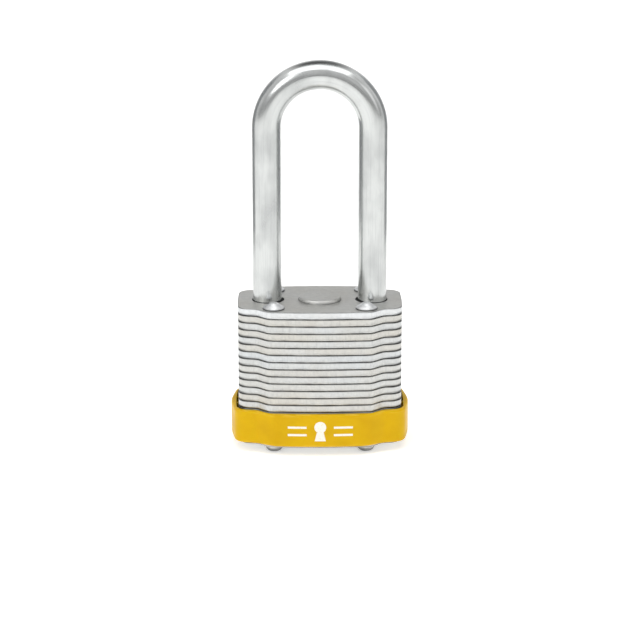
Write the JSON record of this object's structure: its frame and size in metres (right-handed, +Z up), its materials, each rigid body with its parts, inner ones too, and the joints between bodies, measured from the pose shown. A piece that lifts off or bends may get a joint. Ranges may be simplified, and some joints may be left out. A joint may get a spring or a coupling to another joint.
{
  "type": "laminated padlock",
  "caption": "Laminated steel padlock with a tall round shackle, riveted plate body, pin tumbler cylinder and a moulded yellow bumper, drawn locked.",
  "frame": {"origin": "centre of the overall box's base: the plane of the bottom rivet crowns, midway between the shackle legs", "axes": "+Z up from the keyway face towards the shackle, +X across the width, -Y the front face that carries the mark"},
  "size_m": [0.0436, 0.0274, 0.095],
  "materials": {
    "plate_steel": "zinc plated stamping",
    "top_plate_steel": "dull zinc plated",
    "rivet_steel": "headed steel",
    "shackle_steel": "satin nickel-chrome plate",
    "inner_steel": "oiled steel",
    "spring_steel": "drawn wire",
    "brass": "machined",
    "bumper_plastic": "moulded yellow vinyl",
    "mark_print": "white pad print"
  },
  "bodies": {
    "lock_body": {"plate_01": "plate_steel", "plate_02": "plate_steel", "plate_03": "plate_steel", "plate_04": "plate_steel", "plate_05": "plate_steel", "plate_06": "plate_steel", "plate_07": "plate_steel", "plate_08": "plate_steel", "plate_09": "plate_steel", "plate_10": "plate_steel", "plate_11": "plate_steel", "plate_12": "plate_steel", "plate_13": "plate_steel", "plate_14": "plate_steel", "plate_15": "plate_steel", "plate_16": "plate_steel", "plate_17": "plate_steel", "plate_18": "plate_steel", "plate_19": "top_plate_steel", "rivet_front_left": "rivet_steel", "rivet_front_right": "rivet_steel", "rivet_back_left": "rivet_steel", "rivet_back_right": "rivet_steel", "bumper": "bumper_plastic", "bumper_mark": "mark_print", "cylinder_shell": "brass", "chamber_cap": "brass", "driver_pins": "brass", "pin_springs": "spring_steel", "bolt_spring": "spring_steel", "shackle_spring": "spring_steel"},
    "plug_assembly": {"plug": "brass", "plug_clip": "inner_steel", "driver_scroll": "inner_steel", "key_pins": "brass"},
    "left_bolt": {"bolt_left": "inner_steel"},
    "right_bolt": {"bolt_right": "inner_steel"},
    "shackle_assembly": {"shackle": "shackle_steel", "shackle_retaining_ring": "inner_steel"}
  },
  "joints": [
    {"name": "shackle_lift", "type": "slide", "parent": "lock_body", "child": "shackle_assembly", "axis": [0, 0, 1], "range_m": [0, 0.014], "deforming": ["shackle_spring"]},
    {"name": "plug_turn", "type": "hinge", "parent": "lock_body", "child": "plug_assembly", "pos_m": [0, 0, 0.0021], "axis": [0, 0, 1], "range_deg": [0, 90]},
    {"name": "bolt_left_slide", "type": "slide", "parent": "lock_body", "child": "left_bolt", "axis": [1, 0, 0], "range_m": [0, 0.0048], "deforming": ["bolt_spring"]},
    {"name": "bolt_right_slide", "type": "slide", "parent": "lock_body", "child": "right_bolt", "axis": [-1, 0, 0], "range_m": [0, 0.0048]}
  ],
  "couplings": [
    {"joint": "plug_turn", "follows": "shackle_lift", "rad_per_m": 112.2},
    {"joint": "bolt_left_slide", "follows": "shackle_lift", "ratio": 0.34286},
    {"joint": "bolt_right_slide", "follows": "shackle_lift", "ratio": 0.34286}
  ]
}
